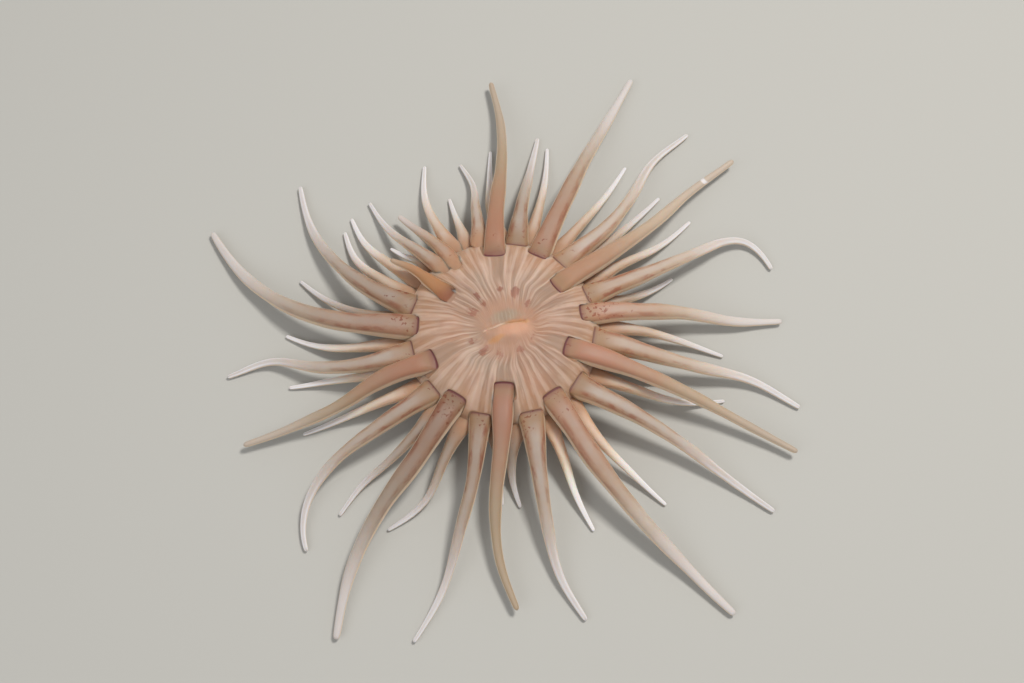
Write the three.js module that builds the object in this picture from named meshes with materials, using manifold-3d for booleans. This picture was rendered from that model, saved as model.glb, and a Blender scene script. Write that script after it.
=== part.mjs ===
// A sea anemone at life size, in millimetres with +Z up. The origin is the centre of the pedal
// disc, on the floor it rests on. A low column carries a broad oral disc with the mouth in the
// middle and four cycles of long tapering tentacles round its margin. The inner cycles are the
// stoutest, stand highest and lie over the outer ones. Bearings are degrees anticlockwise from +X.

import * as THREE from "three";
import { mergeVertices } from "three/addons/utils/BufferGeometryUtils.js";
import Module from "manifold-3d";

const wasm = await Module();
wasm.setup();

// The body.
const GAP = 0.3; // between one solid and the next
const TURNS = 48; // facets round the body
const MOUTH_TURNS = 24; // facets round the mouth
const PEDAL_RADIUS = 21;
const PEDAL_HEIGHT = 3;
const WAIST_RADIUS = 18;
const COLUMN_TOP = 10.3;
const PARAPET_RADIUS = 26.5;
const MARGIN_RADIUS = 30;
const MARGIN_HEIGHT = 12.8;
const DISC_HEIGHT = 21.8;
const MOUTH = new THREE.Vector3(1.2, -1.2, 17.5); // middle of the lips, at their underside
const LIP_LENGTH = 15;
const LIP_WIDTH = 10.5;
const LIP_HEIGHT = 5.6;
const SLIT_LENGTH = 11;
const SLIT_WIDTH = 1.4;
const SLIT_DEPTH = 3.5;
const MOUTH_BEARING = 12; // the long way of the mouth

// The tentacles. A centre line starts under the skin of the disc, at rootRadius and rootHeight,
// and comes down to tipHeight. Widths run from root to tip, as (distance along) ^ taper.
const SIDES = 8;
const STEP = 9.5; // between one ring of a tentacle and the next
const BUD = 0.72; // width of the first ring, where the root is drawn in, over the root width
const BUD_LENGTH = 1.2;
const JOINT_AT = 0.42; // where a primary tentacle is parted, as a share of its length

const cycles = {
  primary: { rootRadius: 20, rootHeight: 18.5, tipHeight: 4, root: 7, tip: 1.8, taper: 0.75 },
  secondary: { rootRadius: 25.3, rootHeight: 16.8, tipHeight: 2, root: 6.5, tip: 2.2, taper: 1.5 },
  tertiary: { rootRadius: 27.3, rootHeight: 15.2, tipHeight: 1.3, root: 5.4, tip: 1.4, taper: 1.1 },
  quaternary: { rootRadius: 28.4, rootHeight: 11.8, tipHeight: 1, root: 3.5, tip: 1.2, taper: 1.1 },
};

// Each tentacle's reach from the axis, and its bearings at equal steps out, from root to tip.
// A girth multiplies its widths, and a rootRadius or tipHeight stands for its cycle's. A curl
// above 1 makes the way out flatten towards the reach, so that the end sweeps sideways.
const tentacles = {
  primary: [
    { reach: 98, bearings: [38, 37, 38, 40, 40] },
    { reach: 92, bearings: [96, 93, 90.5, 90.5, 92.5], rootRadius: 21.5 },
    { reach: 41, bearings: [151, 147, 145, 146.5], girth: 0.88, rootRadius: 18, tipHeight: 16.5 },
    { reach: 85, bearings: [208, 204, 205, 204, 203], rootRadius: 21.5 },
    { reach: 83, bearings: [271, 270, 268, 269, 273], rootRadius: 19 },
    { reach: 96, bearings: [341, 342, 341.5, 340, 338.5], rootRadius: 19 },
  ],
  secondary: [
    { reach: 88, bearings: [10.5, 9, 8, 5.5, 5], girth: 0.88, rootRadius: 24 },
    { reach: 103.5, bearings: [65, 66, 66.5, 66, 65.5], girth: 0.93 },
    { reach: 54, bearings: [126, 125, 126, 128], girth: 0.72, tipHeight: 5 },
    { reach: 101, bearings: [179, 177, 172.5, 166, 158] },
    { reach: 103, bearings: [238, 238, 236.5, 238, 242] },
    { reach: 108, bearings: [305, 304, 305.5, 307.5, 309] },
  ],
  tertiary: [
    { reach: 90, bearings: [23, 23, 24, 25, 25.5, 23.5, 17], curl: 1.6 },
    { reach: 96, bearings: [50, 47, 49, 52, 50.5] },
    { reach: 73.5, bearings: [81, 82, 81.5, 81] },
    { reach: 64.5, bearings: [104, 102, 101, 100, 102.5], girth: 0.8 },
    { reach: 65.5, bearings: [133, 134, 134, 131.5], girth: 0.8 },
    { reach: 86, bearings: [165, 161, 155, 148.5, 140.5], girth: 1.1 },
    { reach: 86, bearings: [195, 194, 190, 185, 187] },
    { reach: 87.5, bearings: [223, 219.5, 218, 221, 228], curl: 1.3 },
    { reach: 95.5, bearings: [257, 259.5, 258.5, 257.5, 254.5], girth: 0.92 },
    { reach: 89, bearings: [288, 284.5, 283, 283, 286], girth: 1.08 },
    { reach: 97.5, bearings: [322, 326.5, 328, 327.5, 327], girth: 1.05 },
    { reach: 94, bearings: [354, 351.5, 351, 351, 347.5], girth: 1.05 },
  ],
  quaternary: [
    { reach: 58.5, bearings: [16.5, 18, 20, 22.5] },
    { reach: 74, bearings: [30.5, 33, 33, 35] },
    { reach: 72, bearings: [43, 43.5, 44.5, 45] },
    { reach: 74, bearings: [58, 57, 56.5, 57] },
    { reach: 70.5, bearings: [74, 75, 76, 78] },
    { reach: 68, bearings: [89, 95, 94.5, 93.5] },
    { reach: 53.5, bearings: [111, 110, 109.5, 109] },
    { reach: 67.5, bearings: [118.5, 119, 117.5, 112.5], girth: 1.1 },
    { reach: 47, bearings: [139, 136, 138, 139], girth: 0.9, tipHeight: 6 },
    { reach: 65.5, bearings: [146, 146, 144.5, 142.5, 138.5], girth: 1.1 },
    { reach: 64, bearings: [159, 155, 152, 149, 143], girth: 1.2 },
    { reach: 68, bearings: [172.5, 170.5, 166.5, 161.5] },
    { reach: 68, bearings: [186.5, 185, 183.5, 181, 177.5] },
    { reach: 67.5, bearings: [201, 197.5, 193.5, 192] },
    { reach: 67.5, bearings: [215.5, 210, 207, 205.5] },
    { reach: 73, bearings: [230.5, 230.5, 229, 227, 228] },
    { reach: 68, bearings: [248, 246, 246, 240] },
    { reach: 51, bearings: [265, 268, 269, 270] },
    { reach: 52, bearings: [280, 275, 274, 276] },
    { reach: 65, bearings: [296.5, 296, 294.5, 295] },
    { reach: 71, bearings: [313.5, 311.5, 313, 314] },
    { reach: 71, bearings: [333, 337, 340, 345] },
    { reach: 52, bearings: [347, 346, 345, 346] },
    { reach: 69, bearings: [3, 3, 0.5, -3] },
  ],
};

const colours = {
  column: 0xd8ab92,
  disc: 0xe0aa8c,
  lips: 0xe89a72,
  primary: 0xc58f7c,
  secondary: 0xcf9f88,
  tertiary: 0xdbb09a,
  quaternary: 0xe6c9b8,
};

// Gives a manifold solid of a closed geometry.
function solidOf(geometry) {
  const bare = geometry.clone();
  bare.deleteAttribute("normal");
  bare.deleteAttribute("uv");
  const merged = mergeVertices(bare, 1e-5);
  const triVerts = [];
  const index = merged.getIndex().array;
  for (let i = 0; i < index.length; i += 3) {
    const [a, b, c] = [index[i], index[i + 1], index[i + 2]];
    if (a !== b && b !== c && c !== a) {
      triVerts.push(a, b, c);
    }
  }
  const mesh = new wasm.Mesh({
    numProp: 3,
    vertProperties: new Float32Array(merged.getAttribute("position").array),
    triVerts: new Uint32Array(triVerts),
  });
  return new wasm.Manifold(mesh);
}

// Gives the geometry of a manifold solid, with flat facets.
function geometryOf(solid) {
  const mesh = solid.getMesh();
  const geometry = new THREE.BufferGeometry();
  geometry.setAttribute("position", new THREE.BufferAttribute(mesh.vertProperties, mesh.numProp));
  geometry.setIndex(new THREE.BufferAttribute(mesh.triVerts, 1));
  geometry.computeVertexNormals();
  return geometry;
}

// Turns a half outline of [radius, height] corners, listed from the bottom up, about +Z.
function turned(outline, facets = TURNS) {
  const points = outline.map(([radius, height]) => new THREE.Vector2(radius, height));
  return new THREE.LatheGeometry(points, facets).rotateX(Math.PI / 2);
}

// Moves the corners of a half outline outwards by a distance, square to the outline.
function grown(outline, distance) {
  return outline.map(([radius, height], i) => {
    const before = outline[Math.max(i - 1, 0)];
    const after = outline[Math.min(i + 1, outline.length - 1)];
    const along = new THREE.Vector2(after[0] - before[0], after[1] - before[1]).normalize();
    const moved = radius === 0 ? 0 : radius + along.y * distance;
    return [moved, height - along.x * distance];
  });
}

// Joins ends and middle of a few values at equal steps with a smooth cubic, slope by slope.
function smoothThrough(values, share) {
  const last = values.length - 1;
  const slope = (i) => {
    const low = Math.max(i - 1, 0);
    const high = Math.min(i + 1, last);
    return (values[high] - values[low]) / (high - low);
  };
  const i = Math.min(Math.floor(share * last), last - 1);
  const t = share * last - i;
  const rise = values[i + 1] - values[i];
  const start = slope(i);
  const end = slope(i + 1);
  return values[i] + t * start + t * t * (3 * rise - 2 * start - end) + t * t * t * (start + end - 2 * rise);
}

// The centre line of a tentacle: straight out from the axis but for its bearing, and down from
// the root to the tip in one S-shaped fall.
class CentreLine extends THREE.Curve {
  constructor(tentacle, cycle) {
    super();
    this.reach = tentacle.reach;
    this.curl = tentacle.curl ?? 1;
    this.bearings = tentacle.bearings;
    this.rootRadius = tentacle.rootRadius ?? cycle.rootRadius;
    this.rootHeight = cycle.rootHeight;
    this.tipHeight = tentacle.tipHeight ?? cycle.tipHeight;
  }

  getPoint(share, target = new THREE.Vector3()) {
    const out = 1 - (1 - share) ** this.curl;
    const radius = this.rootRadius + (this.reach - this.rootRadius) * out;
    const bearing = THREE.MathUtils.degToRad(smoothThrough(this.bearings, share));
    const fall = share * share * (3 - 2 * share);
    const height = this.rootHeight + (this.tipHeight - this.rootHeight) * fall;
    return target.set(radius * Math.cos(bearing), radius * Math.sin(bearing), height);
  }
}

// A closed round tube along a centre line, from one share of its length to another, with a
// point at each end a little beyond the last ring.
function tube(line, widthAt, from, to) {
  const length = line.getLength() * (to - from);
  const steps = Math.max(2, Math.round(length / STEP));
  const shares = Array.from({ length: steps + 1 }, (_, i) => from + ((to - from) * i) / steps);
  if (from === 0) {
    shares.splice(1, 0, BUD_LENGTH / line.getLength());
  }
  const positions = [];
  const index = [];
  const up = new THREE.Vector3(0, 0, 1);
  shares.forEach((share) => {
    const centre = line.getPointAt(share);
    const along = line.getTangentAt(share);
    const side = new THREE.Vector3().crossVectors(up, along).normalize();
    const over = new THREE.Vector3().crossVectors(along, side);
    const radius = widthAt(share) / 2;
    for (let k = 0; k < SIDES; k += 1) {
      const turn = (2 * Math.PI * k) / SIDES;
      const vertex = centre.clone();
      vertex.addScaledVector(side, radius * Math.cos(turn));
      vertex.addScaledVector(over, radius * Math.sin(turn));
      positions.push(...vertex);
    }
  });
  for (let ring = 0; ring < shares.length - 1; ring += 1) {
    for (let k = 0; k < SIDES; k += 1) {
      const a = ring * SIDES + k;
      const b = ring * SIDES + ((k + 1) % SIDES);
      index.push(a, b, a + SIDES, b, b + SIDES, a + SIDES);
    }
  }
  const isTip = to === 1;
  const rootPoint = positions.length / 3;
  positions.push(...line.getPointAt(from));
  const tipPoint = rootPoint + 1;
  const tip = line.getPointAt(to);
  if (isTip) {
    tip.addScaledVector(line.getTangentAt(to), widthAt(to) / 3);
  }
  positions.push(...tip);
  const lastRing = (shares.length - 1) * SIDES;
  for (let k = 0; k < SIDES; k += 1) {
    const next = (k + 1) % SIDES;
    index.push(rootPoint, next, k);
    index.push(tipPoint, lastRing + k, lastRing + next);
  }
  const geometry = new THREE.BufferGeometry();
  geometry.setAttribute("position", new THREE.Float32BufferAttribute(positions, 3));
  geometry.setIndex(index);
  return geometry;
}

// The width of a tentacle at a share of its length, with the root drawn in.
function widthOf(tentacle, cycle, length) {
  const girth = tentacle.girth ?? 1;
  return (share) => {
    const width = cycle.root + (cycle.tip - cycle.root) * share ** cycle.taper;
    const drawnIn = share * length < BUD_LENGTH / 2 ? BUD : 1;
    return girth * width * drawnIn;
  };
}

const anemone = new THREE.Group();

function addPiece(name, solid, colour) {
  const material = new THREE.MeshStandardMaterial({ color: colour, roughness: 0.4, metalness: 0 });
  const mesh = new THREE.Mesh(geometryOf(solid), material);
  mesh.name = name;
  anemone.add(mesh);
}

// The pedal disc: the broad flat foot, with a rounded edge.
const pedalOutline = [
  [0, 0],
  [PEDAL_RADIUS - 0.8, 0],
  [PEDAL_RADIUS, 0.8],
  [PEDAL_RADIUS - 0.6, 2],
  [WAIST_RADIUS + 1, PEDAL_HEIGHT],
  [0, PEDAL_HEIGHT],
];
addPiece("pedal_disc", solidOf(turned(pedalOutline)), colours.column);

// The column: short and smooth, drawn in at the waist and flared to the parapet.
const columnOutline = [
  [0, PEDAL_HEIGHT + GAP],
  [WAIST_RADIUS + 0.8, PEDAL_HEIGHT + GAP],
  [WAIST_RADIUS, 5],
  [WAIST_RADIUS + 1, 6.8],
  [WAIST_RADIUS + 4, 8.6],
  [PARAPET_RADIUS, COLUMN_TOP],
  [0, COLUMN_TOP],
];
addPiece("column", solidOf(turned(columnOutline)), colours.column);

// The lips: an oval mound with the slit of the mouth along its long way.
function oval(outline, length, width, origin) {
  const geometry = turned(outline, MOUTH_TURNS);
  geometry.scale(length / 2, width / 2, 1);
  geometry.rotateZ(THREE.MathUtils.degToRad(MOUTH_BEARING));
  geometry.translate(origin.x, origin.y, origin.z);
  return solidOf(geometry);
}
const lipOutline = [
  [0, 0],
  [1, 0],
  [1, LIP_HEIGHT - 1.4],
  [0.85, LIP_HEIGHT - 0.4],
  [0.55, LIP_HEIGHT],
  [0, LIP_HEIGHT - 0.3],
];
const slitOutline = [
  [0, 0],
  [1, 0],
  [1, LIP_HEIGHT],
  [0, LIP_HEIGHT],
];
const slitOrigin = MOUTH.clone();
slitOrigin.z += LIP_HEIGHT - SLIT_DEPTH;
const slit = oval(slitOutline, SLIT_LENGTH, SLIT_WIDTH, slitOrigin);
const lips = oval(lipOutline, LIP_LENGTH, LIP_WIDTH, MOUTH).subtract(slit);
addPiece("mouth", lips, colours.lips);

// The oral disc: a broad low dome that turns over at the margin, with a seat for the lips.
const discOutline = [
  [0, COLUMN_TOP + GAP],
  [PARAPET_RADIUS, COLUMN_TOP + GAP],
  [MARGIN_RADIUS - 1.2, 11],
  [MARGIN_RADIUS, MARGIN_HEIGHT],
  [MARGIN_RADIUS - 0.4, 14.4],
  [MARGIN_RADIUS - 1.8, 16.2],
  [MARGIN_RADIUS - 4, 18.3],
  [MARGIN_RADIUS - 7, 20],
  [MARGIN_RADIUS - 11, 21.2],
  [MARGIN_RADIUS - 16, DISC_HEIGHT],
  [0, DISC_HEIGHT],
];
const seatOutline = [
  [0, 0],
  [1, 0],
  [1, DISC_HEIGHT],
  [0, DISC_HEIGHT],
];
const seatOrigin = MOUTH.clone();
seatOrigin.z -= GAP;
const seat = oval(seatOutline, LIP_LENGTH + 2 * GAP, LIP_WIDTH + 2 * GAP, seatOrigin);
addPiece("oral_disc", solidOf(turned(discOutline)).subtract(seat), colours.disc);

// The tentacles, inner cycles first: each is cut clear of the disc and of those already laid.
const discRoom = solidOf(turned(grown(discOutline, GAP)));
const laid = [];
for (const [cycleName, list] of Object.entries(tentacles)) {
  const cycle = cycles[cycleName];
  list.forEach((tentacle, i) => {
    const line = new CentreLine(tentacle, cycle);
    const width = widthOf(tentacle, cycle, line.getLength());
    const roomy = (share) => width(share) + 2 * GAP;
    const clear = (solid) => {
      let left = solid.subtract(discRoom);
      laid.forEach((room) => {
        if (left.intersect(room).volume() > 0) {
          left = left.subtract(room);
        }
      });
      return left;
    };
    const name = `${cycleName}_${i + 1}`;
    if (cycleName === "primary") {
      const halfGap = GAP / 2 / line.getLength();
      addPiece(`${name}_base`, clear(solidOf(tube(line, width, 0, JOINT_AT - halfGap))), colours[cycleName]);
      addPiece(`${name}_end`, clear(solidOf(tube(line, width, JOINT_AT + halfGap, 1))), colours[cycleName]);
    } else {
      addPiece(name, clear(solidOf(tube(line, width, 0, 1))), colours[cycleName]);
    }
    laid.push(solidOf(tube(line, roomy, 0, 1)));
  });
}

export default anemone;
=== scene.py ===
"""A sea anemone at life size: one skin over the whole animal, with the stage and camera.

A grid turned about the vertical axis makes the foot, column, oral disc and lips, and 48 patches
of its cells open into tentacles. Sizes are in millimetres, and meshes and settings in metres.
"""

from math import atan2, cos, pi, radians, sin
from types import SimpleNamespace

import bpy
import numpy as np
from bpy.props import FloatProperty, FloatVectorProperty, IntProperty, PointerProperty
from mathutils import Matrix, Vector


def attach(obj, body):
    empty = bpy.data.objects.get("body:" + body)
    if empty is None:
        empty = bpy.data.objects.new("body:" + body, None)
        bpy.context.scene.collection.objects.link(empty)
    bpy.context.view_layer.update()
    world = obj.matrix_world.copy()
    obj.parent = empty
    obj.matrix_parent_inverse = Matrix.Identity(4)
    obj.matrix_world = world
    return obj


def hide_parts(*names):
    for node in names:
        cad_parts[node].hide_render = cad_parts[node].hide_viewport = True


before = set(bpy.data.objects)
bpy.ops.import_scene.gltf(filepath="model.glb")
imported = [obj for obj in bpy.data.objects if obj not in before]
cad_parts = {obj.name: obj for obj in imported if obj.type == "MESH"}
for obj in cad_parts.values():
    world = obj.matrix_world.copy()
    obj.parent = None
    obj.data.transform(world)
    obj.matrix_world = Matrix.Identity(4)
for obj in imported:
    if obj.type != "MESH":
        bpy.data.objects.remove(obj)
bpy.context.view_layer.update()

bl_info = {
    "name": "Sea Anemone",
    "version": (1, 0, 0),
    "blender": (4, 5, 0),
    "location": "3D View > Sidebar > Anemone",
    "description": "Builds a life-size sea anemone with one continuous skin",
    "category": "Add Mesh",
}

MM = 0.001
SEED = 48
SLOT_COUNT = 48
COLUMNS_PER_SLOT = 3
COLUMNS = SLOT_COUNT * COLUMNS_PER_SLOT

# The half outline of the body as [radius, height], from the middle of the foot up over the
# margin to the edge of the lips.
OUTLINE = [
    (0, 0), (19.4, 0), (20.8, 0.5), (20.9, 1.3), (19.9, 2.6), (18.4, 4.2), (18.4, 6.2),
    (20.6, 8.2), (24.4, 9.7), (27.6, 10.5), (29.5, 11.7), (30, 13.2), (29.3, 15.1),
    (27.6, 17.0), (24.6, 19.1), (20, 20.8), (14, 21.6), (9, 21.9),
]
# Radii where the grid's rows change their spacing: the foot's edge, the underside of the margin
# above MARGIN_HEIGHT, and the crown of the disc inside the roots.
FOOT_EDGE = 19
MARGIN_EDGE = 27.6
MARGIN_HEIGHT = 9
CROWN_EDGE = 17.5
# The rows in each stretch between those places, from the foot's middle to the lips.
ROW_COUNTS = (3, 10, 14, 9)
# Above this height the body is the upper side of the disc.
UPPER_SIDE = 15
# The lips as [half length, half width, height], from the foot of the lips into the slit.
LIPS = [
    (8.3, 6.4, 21.95), (7.8, 5.5, 22.05), (7.3, 4.5, 22.2), (6.9, 3.4, 22.35), (6.6, 2.3, 22.38),
    (6.3, 1.3, 22.25), (6.1, 0.6, 22.0), (5.9, 0.25, 21.75), (5.7, 0.1, 21.5),
]
MOUTH_CENTRE = (1.2, -1.2)
MOUTH_BEARING = 10
# The slit is an arch MOUTH_BEND high at MOUTH_BEND_CENTRE along it, and MOUTH_BEND_REACH is
# half its span.
MOUTH_BEND = 0.9
MOUTH_BEND_CENTRE = 1.8
MOUTH_BEND_REACH = 6.5
# How far below the slit's last row the mouth is closed.
THROAT_DEPTH = 0.3
# Ovals of colour on the mouth: the middle along and across the slit, how much the distance
# along it is squeezed, and the radii where the colour starts and where it is full.
LIP_OVAL = (2.4, -1.8, 0.55, 4.0, 1.6)
OCHRE_OVAL = (-3.4, -4.1, 0.36, 1.4, 0.3)
HOLLOW_OVAL = (0.4, 2.5, 0.4, 2.8, 0.6)
# The red-brown marks round the mouth as (x, y, size).
BLOTCHES = [
    (-5.6, -9.5, 1.2), (-0.4, -9.5, 1.2), (5.2, -8.2, 1.2), (8.2, -4.4, 1.2), (-9.1, -6.2, 0.9),
    (-8.9, 3.2, 1.2), (-5.9, 6.3, 1.0), (-7.5, 8.6, 0.9), (-0.7, 10.6, 0.9), (3.9, 9.7, 1.15),
    (7.6, 5.8, 0.9),
]
# The middles of the paler parts of the disc.
PALER_PLACES = [(1.0, 16.0), (-15.0, -13.0)]

# The cycles of tentacles, inner ones first. A centre line starts under the skin at rootRadius
# and rootHeight, and wide and tall are the patch of grid cells it opens from. The last two
# lines of each are its looks. The tone that scales a tentacle's colour is partly its own tone
# and partly painted light: tentacles on the side of the key light are lighter, and those that
# lie in shade are lightened.
CYCLES = dict(primary=dict(
    rootRadius=20, rootHeight=18.5, tipHeight=4, root=7.3, tip=1.8, taper=0.75, crease=21,
    dip=1.3, wide=7, tall=4, merge=9, rings=34, flare=0.03,
    pinch=1, spots=0.06, mauve=0.9, rosy=0.9, streak=0.08, flank=0.12, paling=0.12,
    tone=1,
), secondary=dict(
    rootRadius=25.3, rootHeight=16.8, tipHeight=2, root=6.9, tip=2.1, taper=1.3, crease=25.4,
    dip=1.3, wide=5, tall=4, merge=7, rings=34, flare=0.12,
    pinch=0.85, spots=0.3, mauve=0.45, rosy=0.45, streak=0.45, flank=0.95, paling=0.6,
    tone=1,
), tertiary=dict(
    rootRadius=27.3, rootHeight=15.2, tipHeight=1.3, root=6.1, tip=1.4, taper=0.95,
    crease=27.8, dip=0.9, wide=5, tall=3, merge=6, rings=29, flare=0.26,
    pinch=0.55, spots=0.14, mauve=0.1, rosy=0.1, streak=0.9, flank=1, paling=0.95,
    tone=0.95,
), quaternary=dict(
    rootRadius=28.4, rootHeight=11.8, tipHeight=1, root=4.3, tip=1.2, taper=1, crease=29.9,
    dip=0, wide=3, tall=3, merge=4.5, rings=17, flare=0.5,
    pinch=0.05, spots=0.05, mauve=0.05, rosy=0.05, streak=0.7, flank=0.5, paling=1,
    tone=1.26,
))
# What a tentacle has unless its row says otherwise. girdle is how far out a white ring lies,
# and rides marks the tentacle that lies on the disc.
PLAIN = dict(girth=1, curl=1, orange=0, girdle=0, rides=False)
# A tentacle slimmer than this opens from a narrow patch.
SLIM_GIRTH = 0.86
NARROW = 3
# A tentacle shorter than this has half as many rings.
SHORT = 45
# The rings near the root, as shares of the way from a vertex's start to the merge distance.
EARLY_RINGS = (0.02, 0.055, 0.115, 0.2, 0.33, 0.5, 0.72, 1)
# The two rings that round off the end: how far past it they lie, as shares of its radius, and
# the share of the tube's width that each has.
CAP_RINGS = (0.25, 0.65)
CAP_WIDTHS = (0.82, 0.42)
# How far out the dip of a tentacle's root, the crease on its top and its flare reach.
DIP_REACH = 7
CREASE_REACH = 3.2
FLARE_REACH = 7
# How many rings it takes from the patch's outline to the tube's, and how high above the disc
# the underside of a tentacle stays.
BLEND_RINGS = 4
CLEARANCE = 0.15


def arm(reach, bearings, **own):
    """A tentacle's reach from the axis, its bearings in degrees at equal steps out, and what it
    has of its own."""
    return dict(reach=reach, bearings=bearings, **own)


TENTACLES = dict(primary=[
    arm(98, [38, 37, 38, 40, 40], rootRadius=19, girdle=67, tone=1.08, mauve=0.4, rosy=0.2),
    arm(92, [96, 93, 90.5, 90.5, 92.5], rootRadius=21.5, tone=0.98, rosy=0.3, spots=0.15),
    arm(41, [150.5, 147, 145, 146.5], girth=0.92, rootRadius=18, rootHeight=19.2,
        tipHeight=16, pinch=0.05, orange=1, crease=19, wide=5, dip=0, rides=True, flare=0),
    arm(85, [208, 204, 205, 204, 203], rootRadius=21.5, tone=0.95, paling=0.22, rosy=0.5),
    arm(83, [271, 270, 268, 269, 273], rootRadius=18, tone=0.95, paling=0),
    arm(96, [341, 342, 341.5, 340, 338.5], rootRadius=19, tone=1.1),
], secondary=[
    arm(88, [10.5, 9, 8, 5.5, 5], girth=0.88, rootRadius=24, tone=1.15, spots=0.9),
    arm(103.5, [65, 66, 66.5, 66, 65.5], girth=0.93, tone=0.97),
    arm(54, [126, 125, 126, 128], girth=0.78, tipHeight=5, rootRadius=22.3, rootHeight=17.2,
        dip=0.4, pinch=0.05, orange=0.5, tone=1.05),
    arm(101, [179, 177, 172.5, 166, 158], tone=0.9, spots=0.5),
    arm(103, [238, 238, 236.5, 238, 242], tone=0.74, spots=0.65),
    arm(108, [305, 304, 305.5, 307.5, 309], tone=1.02, spots=0.45),
], tertiary=[
    arm(90, [23, 23, 24, 25, 25.5, 23.5, 17], curl=1.6, tone=1.1),
    arm(96, [50, 47, 49, 52, 50.5], tone=1.1),
    arm(73.5, [81, 82, 81.5, 81], tone=0.9),
    arm(64.5, [104, 102, 101, 100, 102.5], dip=0.3, girth=0.85, pinch=0.05, tone=1.02),
    arm(65.5, [133, 134, 134, 131.5], rootRadius=24, rootHeight=16.4, dip=0.3, girth=0.85,
        pinch=0.05, tone=1.02),
    arm(86, [165, 161, 155, 148.5, 140.5], girth=1.1, tone=0.85, spots=0.45),
    arm(86, [195, 194, 190, 185, 187]),
    arm(87.5, [223, 219.5, 218, 221, 228], curl=1.3, tone=0.9),
    arm(95.5, [257, 259.5, 258.5, 257.5, 254.5], girth=0.92, tone=0.83, spots=0.4),
    arm(89, [288, 284.5, 283, 283, 286], girth=1.08, spots=0.35),
    arm(97.5, [322, 326.5, 328, 327.5, 327], girth=1.05, tone=1),
    arm(94, [354, 351.5, 351, 351, 347.5], girth=1.05, tone=1.12),
], quaternary=[
    arm(58.5, [16.5, 18, 20, 22.5], tone=1.1), arm(74, [30.5, 33, 33, 35]),
    arm(72, [43, 43.5, 44.5, 45], tone=1.1), arm(74, [58, 57, 56.5, 57]),
    arm(70.5, [74, 75, 76, 78]), arm(68, [89, 95, 94.5, 93.5]), arm(53.5, [111, 110, 109.5, 109]),
    arm(67.5, [118.5, 119, 117.5, 112.5], girth=1.1),
    arm(47, [139, 136, 138, 139], girth=0.9, tipHeight=6),
    arm(65.5, [146, 146, 144.5, 142.5, 138.5], girth=1.1),
    arm(64, [159, 155, 152, 149, 143], girth=1.2), arm(68, [172.5, 170.5, 166.5, 161.5], tone=0.85),
    arm(68, [186.5, 185, 183.5, 181, 177.5], tone=1.4),
    arm(67.5, [201, 197.5, 193.5, 192], tone=1.5), arm(67.5, [215.5, 210, 207, 205.5], tone=1.45),
    arm(73, [230.5, 230.5, 229, 227, 228], tone=0.8), arm(68, [248, 246, 246, 240], tone=0.85),
    arm(51, [265, 268, 269, 270], tone=0.9), arm(52, [280, 275, 274, 276], tone=0.8),
    arm(65, [296.5, 296, 294.5, 295], tone=1.8), arm(71, [313.5, 311.5, 313, 314], tone=1.65),
    arm(71, [333, 337, 340, 345], tone=1.4), arm(52, [347, 346, 345, 346]),
    arm(69, [3, 3, 0.5, -3]),
])


# ---- sizes and colours

# Shades that no setting holds, as scene-linear values.
LIP_PEACH = (0.63, 0.36, 0.245)
OCHRE = (0.53, 0.27, 0.115)
HOLLOW_GREY = (0.34, 0.275, 0.205)
HOLLOW_PLEAT = (0.46, 0.37, 0.29)
SLIT_WARM = (0.62, 0.32, 0.15)
# A painted highlight along one half of the slit.
SLIT_PAINTED_HIGHLIGHT = (0.80, 0.60, 0.46)
DISC_WARM = (0.455, 0.245, 0.155)
DISC_COOL = (0.35, 0.275, 0.215)
DISC_OUTER = (0.48, 0.285, 0.175)
DISC_PALER = (0.53, 0.385, 0.30)
DISC_BAND = (0.355, 0.24, 0.175)
DARK_GRAIN = (0.30, 0.165, 0.105)
COLUMN_BUFF = (0.50, 0.35, 0.25)
ROSE = (0.375, 0.18, 0.125)
BUFF_ROOT = (0.31, 0.19, 0.10)
MAUVE_ROOT = (0.29, 0.195, 0.125)
PALE_BUFF = (0.52, 0.43, 0.35)
AMBER = (0.40, 0.205, 0.10)
GREY_STREAK = (0.47, 0.415, 0.375)
RED_FLANK = (0.27, 0.10, 0.06)
SPECK = (0.24, 0.075, 0.045)
# A painted highlight along both sides of the tentacles, for light through their thin edges.
PAINTED_RIM_HIGHLIGHT = (0.76, 0.61, 0.45)
BRUISE = (0.24, 0.085, 0.05)
BLUSH = (0.22, 0.075, 0.07)
SHEEN = (1.0, 0.86, 0.68, 1.0)
LIGHT_RADIUS = (1.0, 0.6, 0.38)
FLOOR_GREY = (0.47, 0.465, 0.44, 1.0)
ROOM_WHITE = (1.0, 0.99, 0.97, 1.0)


def size_setting(name, description, default, least=0):
    """A length that can be set."""
    return FloatProperty(
        name=name, description=description, default=default, min=least, unit="LENGTH",
    )


def colour_setting(name, description, default):
    """A colour that can be set."""
    return FloatVectorProperty(
        name=name, description=description, default=default, subtype="COLOR",
    )


class ANEMONE_PG_skin(bpy.types.PropertyGroup):
    """Sizes of the skin's finer relief."""

    pleat_depth: size_setting("Pleat depth", "Height of the disc's ridges and folds", 0.4 * MM)
    crease_depth: size_setting("Crease depth", "How far a root lies below the disc's edge", 0.55 * MM)
    lip_puff: size_setting("Lip puff", "How much higher one lip swells than the other", 0.5 * MM)
    waver: FloatProperty(
        name="Waver", description="How much a tentacle's width wavers along its length",
        default=0.04, min=0, max=0.3, subtype="FACTOR",
    )
    smoothing: IntProperty(
        name="Smoothing", description="Subdivision levels of the skin", default=1, min=0, max=2,
    )


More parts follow.
